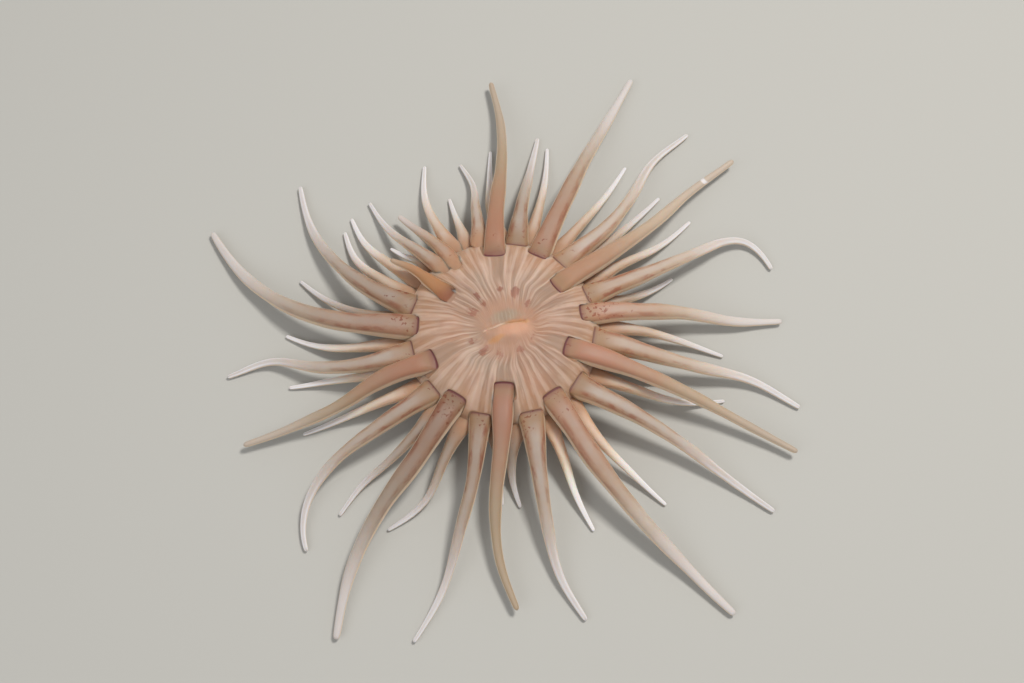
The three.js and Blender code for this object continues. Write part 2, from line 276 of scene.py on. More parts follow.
class ANEMONE_PG_looks(bpy.types.PropertyGroup):
    """Colours of the flesh, as scene-linear values."""

    mauve: colour_setting("Mauve", "The stout inner tentacles", (0.385, 0.20, 0.128))
    buff: colour_setting("Buff", "The outer tentacles near their roots", (0.37, 0.24, 0.155))
    tan: colour_setting("Tan", "The stout inner tentacles farther out", (0.375, 0.28, 0.185))
    pale: colour_setting("Pale", "Tips and streaks", (0.80, 0.79, 0.835))
    disc: colour_setting("Disc", "The oral disc", (0.355, 0.225, 0.162))
    line: colour_setting("Line", "The pale lines of the disc", (0.60, 0.45, 0.37))
    peach: colour_setting("Peach", "The flush round the mouth", (0.55, 0.315, 0.215))
    blotch: colour_setting("Blotch", "Red-brown marks round the mouth", (0.25, 0.07, 0.045))
    crease: colour_setting("Crease", "The line at a tentacle's root", (0.15, 0.042, 0.048))


class ANEMONE_PG_stage(bpy.types.PropertyGroup):
    """The floor, the lights and the camera."""

    floor_size: size_setting("Floor size", "Side of the floor", 3.0, 0.5)
    elevation: FloatProperty(
        name="Elevation", description="The camera's angle above the floor",
        default=radians(70), subtype="ANGLE",
    )
    distance: size_setting("Distance", "From the camera to its target", 441 * MM, 0.1)
    focal_length: FloatProperty(
        name="Focal length", description="Of the camera, in millimetres", default=50, min=10,
    )


# ---- curves

def smooth_step(x):
    """Zero below 0, one above 1, and 3x^2 - 2x^3 between them."""
    x = np.clip(x, 0, 1)
    return x * x * (3 - 2 * x)


def smooth_curve(knots, values, at):
    """A cubic from value to value, with the slope of its neighbours at each knot."""
    slopes = np.gradient(values, knots, axis=0)
    i = np.clip(np.searchsorted(knots, at, side="right") - 1, 0, len(knots) - 2)
    step = (knots[i + 1] - knots[i])[:, None]
    t = (at - knots[i])[:, None] / step
    start = (values[i] * (1 + 2 * t) + slopes[i] * step * t) * (1 - t) ** 2
    return start + (values[i + 1] * (3 - 2 * t) - slopes[i + 1] * step * (1 - t)) * t * t


def distance_run(points):
    """The distance run along a polyline at each of its points."""
    return np.r_[0, np.cumsum(np.linalg.norm(np.diff(points, axis=0), axis=1))]


def found_at(values, run, at):
    """What lies at each distance along a polyline, on the straight between its points."""
    return np.stack([np.interp(at, run, part) for part in values.T], axis=-1)


def even_points(points, count):
    """Resamples a polyline to count points at equal distances, and gives those distances."""
    run = distance_run(points)
    even = np.linspace(0, run[-1], count)
    return found_at(points, run, even), even


def unit(vectors):
    """Each vector made one long."""
    return vectors / np.linalg.norm(vectors, axis=-1, keepdims=True)


def all_tentacles():
    """Every tentacle with its cycle's values, in the order of their roots round the disc. A
    place in the list is a slot."""
    found = [
        SimpleNamespace(**{**PLAIN, **CYCLES[cycle], "cycle": cycle, **row})
        for cycle, rows in TENTACLES.items()
        for row in rows
    ]
    return sorted(found, key=lambda one: one.bearings[0])


def centre_line(one):
    """The centre line of a tentacle in millimetres. It runs straight out from the axis but for
    its bearing, and falls from root to tip as an S: height = root + (tip - root)(3s^2 - 2s^3)."""
    count = 400
    share = np.linspace(0, 1, count)
    out = 1 - (1 - share) ** one.curl
    radius = one.rootRadius + (one.reach - one.rootRadius) * out
    steps = np.arange(len(one.bearings))
    bearings = np.array(one.bearings, float)[:, None]
    bearing = np.radians(smooth_curve(steps, bearings, share * steps[-1])[:, 0])
    height = one.rootHeight + (one.tipHeight - one.rootHeight) * smooth_step(share)
    points = np.stack([radius * np.cos(bearing), radius * np.sin(bearing), height], axis=1)
    return even_points(points, count)


# ---- the body's grid

def body_rows():
    """The outline sampled in rows, (radius, height), close together where tentacles root, and
    how far along the outline each is."""
    corners = np.array(OUTLINE, float)
    run = distance_run(corners)
    samples = 2000
    curve = smooth_curve(run, corners, np.linspace(0, run[-1], 2 * samples))
    fine, run = even_points(curve, samples)
    fine[:, 1] = np.maximum(fine[:, 1], 0)
    foot = run[np.argmax(fine[:, 0] > FOOT_EDGE)]
    margin = run[np.argmax((fine[:, 0] > MARGIN_EDGE) & (fine[:, 1] > MARGIN_HEIGHT))]
    crown = run[len(fine) - 1 - np.argmax(fine[::-1, 0] > CROWN_EDGE)]
    places = (foot / 4, foot, margin, crown, run[-1])
    stations = np.concatenate([
        np.linspace(start, end, count, endpoint=False)
        for start, end, count in zip(places, places[1:], ROW_COUNTS)
    ] + [run[-1:]])
    return found_at(fine, run, stations), stations


def column_bearings(tentacles):
    """The bearing of each grid column in degrees, spread evenly between the roots, each of
    which is the middle of a slot."""
    roots = np.array([one.bearings[0] for one in tentacles], float)
    roots = np.r_[roots[-1] - 360, roots, roots[0] + 360]
    centres = np.arange(-1, SLOT_COUNT + 1) + 0.5
    return np.interp(np.arange(COLUMNS) / COLUMNS_PER_SLOT, centres, roots)


def left_column(slot, wide):
    """The first grid column of a patch in the middle of a slot."""
    return slot * COLUMNS_PER_SLOT + (COLUMNS_PER_SLOT - wide) // 2


def band_edges(tentacles):
    """The bands that the patches carry on over the disc: 1 at the columns of their edges, and 1
    at the columns inside a primary band."""
    edge = np.zeros(COLUMNS)
    strong = np.zeros(COLUMNS)
    for slot, one in enumerate(tentacles):
        if one.cycle == "quaternary" or one.rides:
            continue
        columns = (left_column(slot, one.wide) + np.arange(one.wide + 1)) % COLUMNS
        edge[columns[[0, -1]]] = 1
        strong[columns[1:-1]] = one.cycle == "primary"
    return edge, strong


def pleats(tentacles, rows, rng):
    """How far each grid vertex stands up, from -1 to 1. The edges of bands are ridges, primary
    bands are smooth, and the others have folds that fade before the margin."""
    edge, strong = band_edges(tentacles)
    radius, height = rows[:, 0:1], rows[:, 1:2]
    top = smooth_step((height - UPPER_SIDE) / 2.5)
    inward = 0.35 + 0.65 * smooth_step((radius - 9) / 9)
    folds = rng.uniform(-0.5, 0.95, COLUMNS) * (1 - edge) * (1 - strong)
    ends = rng.uniform(17, 25, COLUMNS)
    fold = folds * smooth_step((ends - radius) / 4) * smooth_step((radius - 7.5) / 3)
    ridge = edge * (0.75 + rng.uniform(-0.3, 0.25, COLUMNS)) * inward
    hollow = -0.45 * strong * smooth_step((radius - 12) / 6)
    return top * (ridge + fold + hollow)


def blotches(x, y, height):
    """How strongly each grid vertex is blotched, from 0 to 1: an oval, long from the mouth
    outwards, round each place in BLOTCHES."""
    strong = np.zeros_like(x)
    for place_x, place_y, size in BLOTCHES:
        turn = atan2(place_y - MOUTH_CENTRE[1], place_x - MOUTH_CENTRE[0])
        out = (x - place_x) * cos(turn) + (y - place_y) * sin(turn)
        aside = (y - place_y) * cos(turn) - (x - place_x) * sin(turn)
        far = np.sqrt((out / 1.25) ** 2 + (aside / 0.8) ** 2) / size
        strong = np.maximum(strong, smooth_step((2.1 - far) / 1.5))
    return strong * (height > UPPER_SIDE)


def disc_points(tentacles, rows, skin, rng):
    """The body but for the lips: each row is a circle, which moves onto the mouth farther in,
    and the columns meander there. Also the bearings of the last row, and the pleats."""
    straight = np.radians(column_bearings(tentacles))
    radius, height = rows[:, 0:1], rows[:, 1:2]
    upper = height > UPPER_SIDE
    inner = smooth_step((18.5 - radius) / 5) * upper
    sway = np.sin(3 * straight + 1) * np.sin(radius / 3.1) + np.sin(7 * straight + 2 + radius / 2.6)
    bearing = straight + radians(1.3) * inner * sway
    drift = smooth_step((15 - radius) / 7) * upper
    x = radius * np.cos(bearing) + MOUTH_CENTRE[0] * drift
    y = radius * np.sin(bearing) + MOUTH_CENTRE[1] * drift
    raised = pleats(tentacles, rows, rng)
    swell = np.sin(2 * straight + 0.6 + radius / 5) * np.sin(radius / 3.4 + 1)
    z = height + raised * skin.pleat_depth / MM + 0.25 * inner * swell
    return np.stack([x, y, z], axis=2), bearing[-1], raised


def lip_points(bearing, skin):
    """The rows of the lips: ovals turned onto the slit and bent with it. The near lip swells,
    the far one sinks, and small folds run over their crest."""
    turn = radians(MOUTH_BEARING)
    lips = np.array(LIPS)
    along = lips[:, 0:1] * np.cos(bearing - turn)
    crest_share = smooth_step(np.linspace(0, 1.2, len(LIPS)))[:, None]
    arch = 1 - ((along - MOUTH_BEND_CENTRE) / MOUTH_BEND_REACH) ** 2
    across = lips[:, 1:2] * np.sin(bearing - turn) + MOUTH_BEND * arch * crest_share
    x = MOUTH_CENTRE[0] + along * cos(turn) - across * sin(turn)
    y = MOUTH_CENTRE[1] + along * sin(turn) + across * cos(turn)
    fold = 0.12 * np.sin(5 * bearing + 1.3) + 0.1 * np.sin(9 * bearing)
    puff = skin.lip_puff / MM * -np.sin(bearing - turn)
    crest = np.sin(np.linspace(0, pi, len(LIPS)))[:, None]
    return np.stack([x, y, lips[:, 2:3] + (fold + puff) * crest], axis=2)


def body_points(tentacles, skin, rng):
    """The grid vertices in millimetres, the rows but for the lips, how far along the outline
    each row lies, and what is known of each vertex."""
    rows, stations = body_rows()
    radius, height = rows[:, 0:1], rows[:, 1:2]
    disc, bearing, raised = disc_points(tentacles, rows, skin, rng)
    flat = np.zeros((len(LIPS), COLUMNS))
    panel = band_edges(tentacles)[1] * smooth_step((radius - 12) / 5) * (height > UPPER_SIDE)
    marks = {
        "panel": np.r_[panel, flat],
        "ridge": np.r_[raised, 0.3 * raised[-1:] + flat],
        "blotch": np.r_[blotches(disc[..., 0], disc[..., 1], height), flat],
    }
    run = np.r_[stations, stations[-1] + np.arange(1.0, len(LIPS) + 1)]
    return np.r_[disc, lip_points(bearing, skin)], rows, run, marks


def round_off(points, patch):
    """Moves the vertices round a patch onto a rounder outline, |u|^n + |v|^n = 1 with n from 2.6
    to 16, bulging towards the mouth. Points between grid vertices are bilinear."""
    low, left, tall, wide = patch
    row, column = patch_loop(patch)
    u = ((column - left) % COLUMNS) / wide * 2 - 1
    v = (row - low) / tall * 2 - 1
    power = 16 if tall > 3 else (8 if wide > 3 else 2.6)
    size = (np.abs(u) ** power + np.abs(v) ** power) ** (1 / power)
    bulge = 0.4 * (v > 0.99) * (1 - u * u) * (tall > 3)
    new_row = low + tall * (v / size + 1) / 2 + bulge
    new_column = wide * (u / size + 1) / 2
    i = np.minimum(new_row.astype(int), low + tall)
    j = np.minimum(new_column.astype(int), wide - 1)
    s = (new_row - i)[:, None]
    t = (new_column - j)[:, None]
    first = (left + j) % COLUMNS
    second = (left + j + 1) % COLUMNS
    near = points[i, first] * (1 - t) + points[i, second] * t
    far = points[i + 1, first] * (1 - t) + points[i + 1, second] * t
    return row, column, near * (1 - s) + far * s


def disc_height(rows, radius):
    """The height of the disc's upper side at a radius, and far below it past the margin."""
    widest = int(np.argmax(rows[:, 0]))
    upper = rows[widest:][::-1]
    return np.where(radius < rows[widest, 0], np.interp(radius, upper[:, 0], upper[:, 1]), -99)


# ---- the tentacles

def patch_of(one, slot, rows):
    """The patch of cells a tentacle opens from: lowest row and column, height and width."""
    outer = one.cycle == "quaternary"
    wide = NARROW if one.girth < SLIM_GIRTH and not outer else one.wide
    crease = one.crease + one.rootRadius - CYCLES[one.cycle]["rootRadius"]
    top = int(np.argmax(rows[:, 0]))
    if not outer:
        top += int(np.argmin(np.abs(rows[top:, 0] - crease)))
    return top - one.tall, left_column(slot, wide), one.tall, wide


def patch_loop(patch):
    """The rows and columns of the grid vertices round a patch, from its top left corner
    clockwise as seen from outside."""
    low, left, tall, wide = patch
    along, down = np.arange(wide), np.arange(tall)
    row = np.r_[np.full(wide, tall), tall - down, 0 * along, down]
    column = np.r_[along, np.full(tall, wide), wide - along, 0 * down]
    return low + row, (left + column) % COLUMNS


def ring_distances(one, start, length):
    """How far along the tentacle each ring vertex lies: from its own start to the merge
    distance, then all together to the tip and over its round end."""
    merge = one.merge
    near = start + (merge - start) * np.array(EARLY_RINGS)[:, None]
    tip_radius = one.girth * one.tip / 2
    late_count = one.rings - len(EARLY_RINGS)
    if length < SHORT:
        late_count = max(7, late_count // 2)
    late = np.linspace(merge, length - 0.4 * tip_radius, late_count + 1)[1:]
    cap = length + tip_radius * np.array(CAP_RINGS)
    return np.r_[near, np.r_[late, cap][:, None] + 0 * start[None]]


def tube_axes(line, run, distance):
    """The point on a centre line at each distance, three directions there, onwards, to the
    level side and over the tube, and the slope at the end."""
    slope = np.gradient(line, run, axis=0)
    onward = unit(found_at(slope, run, distance))
    side = unit(np.cross((0.0, 0.0, 1.0), onward))
    return found_at(line, run, distance), onward, side, np.cross(onward, side), slope[-1]


def tube_radius(one, angle, share, skin, rng):
    """The radius of each ring vertex: root + (tip - root) share^taper, wavering by two sines
    and drawn in at the end. The section is |x|^n + |y|^n = 1, with n from 4 at the root to 2
    halfway out."""
    width = one.root + (one.tip - one.root) * share ** one.taper
    phase = rng.uniform(0, 2 * pi, 3)
    ripple = np.sin(share * 17 + phase[0]) + 0.7 * np.sin(share * 31 + phase[1])
    radius = 0.5 * one.girth * width * (1 + skin.waver * ripple * smooth_step(share * 6))
    radius[-2:] *= np.array(CAP_WIDTHS)[:, None]
    power = 2 + 2 * (1 - smooth_step(share / 0.5))
    reach = np.abs(np.cos(angle)) ** power + np.abs(np.sin(angle)) ** power
    return radius * reach ** (-1 / power)


def bell(distance, reach):
    """One at nought, and less and less away from it: exp(-(distance / reach)^2)."""
    return np.exp(-((distance / reach) ** 2))


def tentacle_rings(one, patch, loop, rows, skin, rng):
    """The rings of a tentacle, its tip, where each vertex lies on it, and how far out. A ring
    vertex keeps one angle round the tube, starts from its own place on the patch's edge, and by
    the merge distance has caught up with the others. The top starts a little under the edge of
    the disc and rises to the full tube."""
    line, run = centre_line(one)
    length = run[-1]
    count = len(loop)
    angle = pi / 2 + (patch[3] / 2 - np.arange(count)) * 2 * pi / count
    high = np.clip(1.5 * np.sin(angle), 0, 1)
    start = np.maximum(np.linalg.norm(loop[:, :2], axis=1) - one.rootRadius, 0)
    distance = ring_distances(one, start, length)
    past = distance - start
    share = np.clip(distance / length, 0, 1)
    radius = tube_radius(one, angle, share, skin, rng)
    centre, onward, side, over, last_slope = tube_axes(line, run, distance)
    centre[:, :, 2] -= one.dip * bell(distance, DIP_REACH)
    centre = centre + onward * np.maximum(distance - length, 0)[:, :, None]
    lift = radius * np.sin(angle)
    depth = skin.crease_depth / MM * (0.15 + 0.85 * one.pinch)
    room = loop[:, 2] - depth - centre[0, :, 2]
    lowered = np.where(high > 0, np.clip(room / np.maximum(lift[0], 0.1), 0.35, 1), 1)
    lift = lift * (1 - (1 - lowered) * bell(past, CREASE_REACH))
    flare = 1 + one.flare * bell(past, FLARE_REACH)
    ring = centre + side * (radius * flare * np.cos(angle))[:, :, None] + over * lift[:, :, None]
    blend = smooth_step(np.arange(1, len(distance) + 1) / BLEND_RINGS)[:, None, None]
    leap = (1 - blend) * (1 - high)[None, :, None]
    ring = ring * (1 - leap) + loop[None] * leap
    if one.cycle != "quaternary":
        floor = disc_height(rows, np.linalg.norm(ring[:, :, :2], axis=2)) + CLEARANCE
        free = (high[None, :] > 0) & ((past < 1.5) | (not one.rides))
        ring[:, :, 2] = np.maximum(ring[:, :, 2], np.where(free, -99, floor))
    tip = line[-1] + last_slope * (one.girth * one.tip * 0.4)
    level = np.zeros_like(distance)
    place = {
        "along": past, "share": share,
        "aside": np.cos(angle) + level, "over": np.sin(angle) + level,
    }
    return ring, tip, place, distance


# ---- the skin mesh

class SkinBuilder:
    """Gathers points, what is known of each, and faces, part by part."""

    def __init__(self):
        self.parts = []
        self.faces = {4: [], 3: []}

    def add_points(self, points, **values):
        """Adds points in metres with an array or number for each value, and gives the number of
        the first."""
        first = sum(len(part) for part, _ in self.parts)
        self.parts.append((points, values))
        return first

    def add_faces(self, corners, lay, bake):
        """Adds faces of four or three corners, with each corner's place on the two maps."""
        sides = corners.shape[-1]
        self.faces[sides].append((corners.reshape(-1, sides), lay, bake))

    def mesh(self, name):
        """Makes the mesh, leaving out the points that no face uses."""
        faces = self.faces[4] + self.faces[3]
        used, loops = np.unique(
            np.concatenate([corners.ravel() for corners, _, _ in faces]), return_inverse=True,
        )
        points = np.concatenate([part for part, _ in self.parts])[used]
        sizes = np.concatenate([np.full(len(corners), corners.shape[1]) for corners, _, _ in faces])
        made = bpy.data.meshes.new(name)
        made.vertices.add(len(points))
        made.vertices.foreach_set("co", points.astype(np.float32).ravel())
        made.loops.add(len(loops))
        made.loops.foreach_set("vertex_index", loops.astype(np.int32).ravel())
        made.polygons.add(len(sizes))
        made.polygons.foreach_set("loop_start", (np.cumsum(sizes) - sizes).astype(np.int32))
        made.update(calc_edges=True)
        made.shade_smooth()
        for layer, which in (("lay", 1), ("OFBake", 2)):
            uv = np.concatenate([face[which].ravel() for face in faces]).astype(np.float32)
            made.uv_layers.new(name=layer).data.foreach_set("uv", uv)
        for value in sorted({value for _, values in self.parts for value in values}):
            data = np.concatenate([
                np.broadcast_to(np.ravel(values.get(value, 0.0)), len(part))
                for part, values in self.parts
            ])[used].astype(np.float32)
            made.attributes.new(value, "FLOAT", "POINT").data.foreach_set("value", data)
        if made.validate():
            raise RuntimeError("the skin's mesh had faults")
        return made


# The baking map is a sheet of shelves, (x, y) in millimetres. Tentacles stand on the shelves,
# and the two sides of the body are round patches above them.
SHEET = 300.0
SHELVES = {"primary": (2, 3), "secondary": (142, 3), "tertiary": (2, 95), "quaternary": (2, 173)}
SHELF_GAP = 1.2
# How much of the way round a tentacle's root its strip of the sheet is wide.
STRIP_SHARE = 0.94
TOP_CENTRE = (45.0, 258.0)
UNDER_CENTRE = (132.0, 252.0)


def body_maps(row, column, run, upper):
    """The two maps of the body. One counts slots round it and metres along its outline. On the
    baking map the way from the foot's or the mouth's middle is the way from a patch's middle."""
    lay = np.stack([column / COLUMNS_PER_SLOT, run[row] * MM], axis=-1)
    reach = np.where(upper, run[-1] + 1.5 - run[row], run[row])
    turn = 2 * pi * column / COLUMNS
    middle = np.where(upper[..., None], TOP_CENTRE, UNDER_CENTRE)
    spread = np.stack([np.cos(turn), np.sin(turn)], axis=-1) * reach[..., None]
    return lay, (middle + spread) / SHEET


def add_body(build, tentacles, skin, rng):
    """Adds the turned grid without the cells of the patches, and a fan of faces at the middle
    of the foot and at the bottom of the mouth."""
    points, rows, run, marks = body_points(tentacles, skin, rng)
    patches = [patch_of(one, slot, rows) for slot, one in enumerate(tentacles)]
    kept = np.ones((len(points) - 1, COLUMNS), bool)
    for low, left, tall, wide in patches:
        cells = (left + np.arange(wide)) % COLUMNS
        if not kept[low:low + tall, cells].all():
            raise RuntimeError("two tentacles share a patch of the disc")
        kept[low:low + tall, cells] = False
    rounded = [round_off(points, patch) for patch in patches]
    for row, column, moved in rounded:
        points[row, column] = moved
    first = build.add_points(points.reshape(-1, 3) * MM, **marks)
    row, column = np.nonzero(kept)
    corner_row = row[:, None] + np.array([0, 0, 1, 1])
    corner_column = column[:, None] + np.array([0, 1, 1, 0])
    corners = first + corner_row * COLUMNS + corner_column % COLUMNS
    upper = (row >= np.argmax(rows[:, 0]))[:, None]
    build.add_faces(corners, *body_maps(corner_row, corner_column, run, upper))
    throat = points[-1].mean(axis=0) - (0, 0, THROAT_DEPTH)
    fan_column = np.arange(COLUMNS)[:, None] + np.array([0, 1, 0])
    for middle, row, hub_corner, upper, centre in (
        (np.zeros(3), 0, 0, False, UNDER_CENTRE), (throat, len(points) - 1, 2, True, TOP_CENTRE),
    ):
        hub = build.add_points(middle[None] * MM)
        corners = first + row * COLUMNS + fan_column % COLUMNS
        corners[:, hub_corner] = hub
        fan_row = np.full_like(fan_column, row)
        lay, bake = body_maps(fan_row, fan_column, run, np.full((COLUMNS, 1), upper))
        bake[:, hub_corner] = np.array(centre) / SHEET
        build.add_faces(corners, lay, bake)
    return first, points, rows, patches


def add_tentacle(build, one, patch, body, skin, rng, shelf):
    """Adds one tentacle to its patch of the body, and gives the width it takes on its shelf."""
    first, points, rows = body
    row, column = patch_loop(patch)
    ring, tip, place, distance = tentacle_rings(one, patch, points[row, column], rows, skin, rng)
    ring_count, count = ring.shape[:2]
    own = {
        "tentacle": 1.0,
        "mauve": one.mauve + rng.uniform(-0.1, 0.1),
        "streak": one.streak + rng.uniform(-0.15, 0.15),
        "flank": one.flank + rng.uniform(-0.2, 0.2),
    }
    for name in ("paling", "rosy", "orange", "girdle", "pinch", "tone", "spots"):
        own[name] = getattr(one, name)
    base = build.add_points(ring.reshape(-1, 3) * MM, **place, **own)
    end_place = {"along": place["along"][-1, 0], "share": 1.0, "over": 1.0}
    end = build.add_points(tip[None] * MM, **end_place, **own)
    ring_numbers = base + np.arange(ring_count * count).reshape(ring_count, count)
    numbers = np.r_[(first + row * COLUMNS + column)[None], ring_numbers]
    depth = np.r_[np.maximum(distance[:1] - 0.6, 0), distance]
    strip = one.girth * one.root * pi * STRIP_SHARE

    def add_faces(corners, around, far):
        lay = np.stack([around, far * MM], axis=-1)
        bake = (np.stack([around * strip, far], axis=-1) + shelf) / SHEET
        build.add_faces(corners, lay, bake)

    i = np.arange(count)
    beside = (i + 1) % count
    j = np.arange(ring_count)[:, None]
    corners, far = [
        np.stack([grid[j, i], grid[j + 1, i], grid[j + 1, beside], grid[j, beside]], axis=2)
        for grid in (numbers, depth)
    ]
    around = np.broadcast_to(np.stack([i, i, i + 1, i + 1], axis=1) / count, far.shape)
    add_faces(corners, around, far)
    corners = np.stack([numbers[-1, i], np.full(count, end), numbers[-1, beside]], axis=1)
    far = np.stack([depth[-1, i], depth[-1, i] + 0.5, depth[-1, beside]], axis=1)
    add_faces(corners, np.stack([i, i + 0.5, i + 1], axis=1) / count, far)
    return strip


def build_skin_mesh(skin):
    """The whole skin as one closed mesh."""
    rng = np.random.default_rng(SEED)
    tentacles = all_tentacles()
    build = SkinBuilder()
    *body, patches = add_body(build, tentacles, skin, rng)
    shelves = {cycle: np.array(start, float) for cycle, start in SHELVES.items()}
    for one, patch in zip(tentacles, patches):
        taken = add_tentacle(build, one, patch, body, skin, rng, shelves[one.cycle])
        shelves[one.cycle][0] += taken + SHELF_GAP
    return build.mesh("anemone_skin")


# ---- materials

def wire_math(operation, swapped=False):
    """A method of a wire that adds one Math node after it."""
    def method(self, *others):
        return self.nodes.math(operation, *((*others, self) if swapped else (self, *others)))
    return method


class Wire:
    """What comes out of one socket of a node. Sums, products and the like add Math nodes."""

    __add__ = wire_math("ADD")
    __mul__ = wire_math("MULTIPLY")
    __sub__ = wire_math("SUBTRACT")
    __rsub__ = wire_math("SUBTRACT", swapped=True)
    __truediv__ = wire_math("DIVIDE")
    __pow__ = wire_math("POWER")
    __abs__ = wire_math("ABSOLUTE")
    sine = wire_math("SINE")
    cosine = wire_math("COSINE")
    root = wire_math("SQRT")

    def __init__(self, nodes, socket):
        self.nodes = nodes
        self.socket = socket

    def ramp(self, low, high, low_out=0, high_out=1):
        """A smooth step from low_out to high_out as the value goes from low to high."""
        ends = {"From Min": low, "From Max": high, "To Min": low_out, "To Max": high_out}
        return self.nodes.add(
            "ShaderNodeMapRange", {"Value": self, **ends}, interpolation_type="SMOOTHSTEP",
        )

    def every(self):
        """All that comes out of the same node."""
        return [Wire(self.nodes, socket) for socket in self.socket.node.outputs]


# Of the many sockets of a Mix node, the ones that mix colours.
MIX_SHARE, MIX_BELOW, MIX_ABOVE, MIX_RESULT = 0, 6, 7, 2


class Nodes:
    """Short ways to add and join the nodes of one tree."""

    def __init__(self, tree):
        self.tree = tree

    def put(self, sockets, values):
        """Joins each wire to its socket, and sets the other sockets to their values."""
        for name, value in values.items():
            if isinstance(value, Wire):
                self.tree.links.new(value.socket, sockets[name])
            else:
                sockets[name].default_value = value

    def add(self, kind, inputs=None, output=0, **settings):
        """Adds a node with its settings and inputs, and gives what comes out of it."""
        node = self.tree.nodes.new(kind)
        for name, value in settings.items():
            setattr(node, name, value)
        self.put(node.inputs, inputs or {})
        return Wire(self, node.outputs[output])

    def placed(self, group, **inputs):
        """Places a group, and gives all that comes out of it."""
        return self.add("ShaderNodeGroup", inputs, node_tree=group).every()

    def math(self, operation, *values):
        return self.add("ShaderNodeMath", dict(enumerate(values)), operation=operation)

    def over(self, below, share, above):
        """Lays one colour over another by a share from 0 to 1."""
        below, above = [c if isinstance(c, Wire) else (*c, 1) for c in (below, above)]
        inputs = {MIX_SHARE: share, MIX_BELOW: below, MIX_ABOVE: above}
        return self.add("ShaderNodeMix", inputs, MIX_RESULT, data_type="RGBA")

    def layers(self, colour, *layers):
        """Lays further colours over a colour in turn, each given as (share, colour)."""
        for share, above in layers:
            colour = self.over(colour, share, above)
        return colour

    def scaled(self, colour, factor):
        """A colour made lighter or darker by a factor."""
        inputs = {"Vector": colour, "Scale": factor}
        return self.add("ShaderNodeVectorMath", inputs, operation="SCALE")

    def axes(self, vector):
        return self.add("ShaderNodeSeparateXYZ", {"Vector": vector}).every()

    def joined(self, x, y, z=0):
        return self.add("ShaderNodeCombineXYZ", {"X": x, "Y": y, "Z": z})

    def attributes(self, *names):
        return [self.add("ShaderNodeAttribute", None, "Fac", attribute_name=name) for name in names]

    def noise(self, vector, scale, detail=2, roughness=0.5, distortion=0):
        return self.add("ShaderNodeTexNoise", {
            "Vector": vector, "Scale": scale, "Detail": detail, "Roughness": roughness,
            "Distortion": distortion,
        })

    def millimetres(self, place):
        """The three axes of a place in metres, each in millimetres."""
        return self.axes(self.scaled(place, 1 / MM))

    def length(self, x, y):
        """The square root of x^2 + y^2."""
        return (x * x + y * y).root()


# The kinds of sockets a group has.
VECTOR, COLOUR, FLOAT = "NodeSocketVector", "NodeSocketColor", "NodeSocketFloat"


def new_group(paint, looks, **inputs):
    """A shader node group named after the function that paints it. It has inputs of the kinds
    given, and puts out the colour and perhaps the relief that the function gives."""
    name = "anemone " + paint.__name__.replace("_", " ")
    group = bpy.data.node_groups.new(name, "ShaderNodeTree")
    for socket, kind in inputs.items():
        group.interface.new_socket(name=socket, in_out="INPUT", socket_type=kind)
    n = Nodes(group)
    *wires, _ = n.add("NodeGroupInput").every()
    made = paint(n, looks, *wires)
    for socket in made:
        kind = FLOAT if socket == "Relief" else COLOUR
        group.interface.new_socket(name=socket, in_out="OUTPUT", socket_type=kind)
    n.put(group.nodes.new("NodeGroupOutput").inputs, made)
    return group


def mouth_marks(n, looks, place, colour):
    """Colours laid over the disc round the mouth: a warm flush, the peach lip with its ochre
    border, the grey pleated hollow beyond it, and along the slit a warm orange line on one half
    and a painted highlight on the other."""
    x, y, _ = n.millimetres(place)
    x, y = x - MOUTH_CENTRE[0], y - MOUTH_CENTRE[1]
    turn = radians(MOUTH_BEARING)
    along = x * cos(turn) + y * sin(turn)
    arch = 1 - ((along - MOUTH_BEND_CENTRE) / MOUTH_BEND_REACH) ** 2
    across = y * cos(turn) - x * sin(turn) - arch * MOUTH_BEND
    soft = n.noise(place, 300, 3, 0.6)
    blur = (soft - 0.5) * 2.5

    def soft_oval(middle, aside, squeeze, outer, inner):
        """One inside an oval and nought outside it, with a blurred edge."""
        far = n.length((along - middle) * squeeze, across - aside)
        return (far + blur).ramp(outer, inner)

    flush = (n.length(x, y) + (n.noise(place, 120) - 0.5) * 7).ramp(12, 6)
    lip = soft_oval(*LIP_OVAL) * (across + blur * 0.5).ramp(0.3, -0.5)
    veil = soft_oval(*HOLLOW_OVAL)
    pleat = ((along / 0.55 + soft * 3) * pi).sine().ramp(-0.3, 1)
    off = abs(across + blur * 0.45)
    warm = off.ramp(1, 0.1) * along.ramp(-1, 2) * along.ramp(8, 5.5)
    # Painted highlight: a cream line along the other half of the slit.
    light = off.ramp(0.5, 0.1) * along.ramp(1, -2.5) * along.ramp(-7.5, -6)
    colour = n.layers(
        colour,
        (flush * 0.42, looks.peach),
        (lip * 0.75, LIP_PEACH),
        (soft_oval(*OCHRE_OVAL) * 0.7, OCHRE),
        (veil * 0.75, HOLLOW_GREY),
        (veil * pleat * 0.4, HOLLOW_PLEAT),
        (warm * 0.75, SLIT_WARM),
        (light * 0.8, SLIT_PAINTED_HIGHLIGHT),
    )
    return {"Color": colour}


